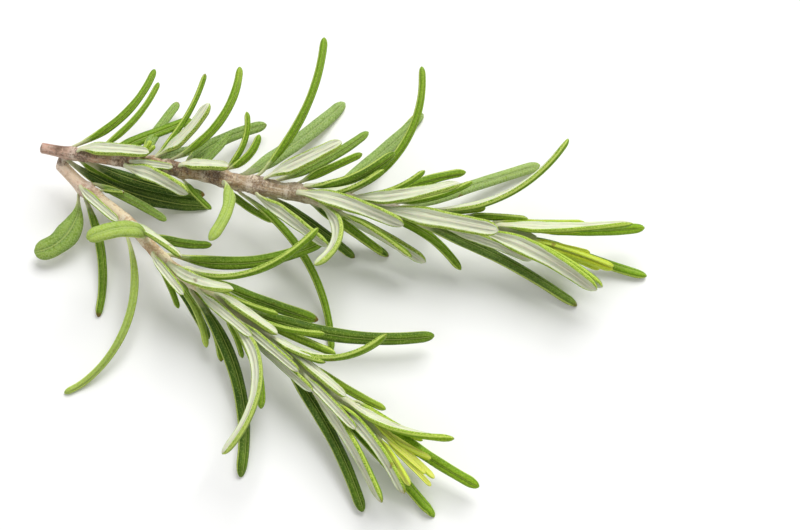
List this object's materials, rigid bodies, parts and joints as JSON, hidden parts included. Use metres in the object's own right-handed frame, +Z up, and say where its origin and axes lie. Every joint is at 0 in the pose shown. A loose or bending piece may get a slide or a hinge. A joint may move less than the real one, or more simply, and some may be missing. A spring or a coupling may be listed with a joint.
{
  "type": "forked rosemary sprig",
  "caption": "Cut sprig of rosemary with two leafy woody shoots from one fork, narrow rolled leaves green above and pale below, lying on a surface.",
  "frame": {"origin": "middle of the sprig's bounding box, on the surface it lies on", "axes": "+X along the longer shoot from its cut end to its tip, +Z up from the surface, +Y away from the side shoot"},
  "size_m": [0.1267, 0.0957, 0.0214],
  "materials": {
    "brown_bark": "matte",
    "young_bark": "matte",
    "leaf": "satin, felted below",
    "young_leaf": "satin, felted below"
  },
  "bodies": {
    "root": {"main_stem": "brown_bark", "side_stem": "young_bark", "main_leaf_01": "leaf", "main_leaf_02": "leaf", "main_leaf_03": "leaf", "main_leaf_04": "leaf", "main_leaf_05": "leaf", "main_leaf_06": "leaf", "main_leaf_07": "leaf", "main_leaf_08": "leaf", "main_leaf_09": "leaf", "main_leaf_10": "leaf", "main_leaf_11": "leaf", "main_leaf_12": "leaf", "main_leaf_13": "leaf", "main_leaf_14": "leaf", "main_leaf_15": "leaf", "main_leaf_16": "leaf", "main_leaf_17": "leaf", "main_leaf_18": "leaf", "main_leaf_19": "leaf", "main_leaf_20": "leaf", "main_leaf_21": "leaf", "main_leaf_22": "leaf", "main_leaf_23": "leaf", "main_leaf_24": "leaf", "main_leaf_25": "leaf", "main_leaf_26": "leaf", "main_leaf_27": "leaf", "main_leaf_28": "leaf", "main_leaf_29": "leaf", "main_leaf_30": "leaf", "main_leaf_31": "leaf", "main_leaf_32": "young_leaf", "main_leaf_33": "young_leaf", "main_leaf_34": "young_leaf", "main_leaf_35": "young_leaf", "main_leaf_36": "young_leaf", "side_leaf_01": "leaf", "side_leaf_02": "leaf", "side_leaf_03": "leaf", "side_leaf_04": "leaf", "side_leaf_05": "leaf", "side_leaf_06": "leaf", "side_leaf_07": "leaf", "side_leaf_08": "leaf", "side_leaf_09": "leaf", "side_leaf_10": "leaf", "side_leaf_11": "leaf", "side_leaf_12": "leaf", "side_leaf_13": "leaf", "side_leaf_14": "leaf", "side_leaf_15": "leaf", "side_leaf_16": "leaf", "side_leaf_17": "leaf", "side_leaf_18": "young_leaf", "side_leaf_19": "young_leaf", "side_leaf_20": "young_leaf", "side_leaf_21": "young_leaf", "side_leaf_22": "young_leaf"}
  },
  "joints": []
}
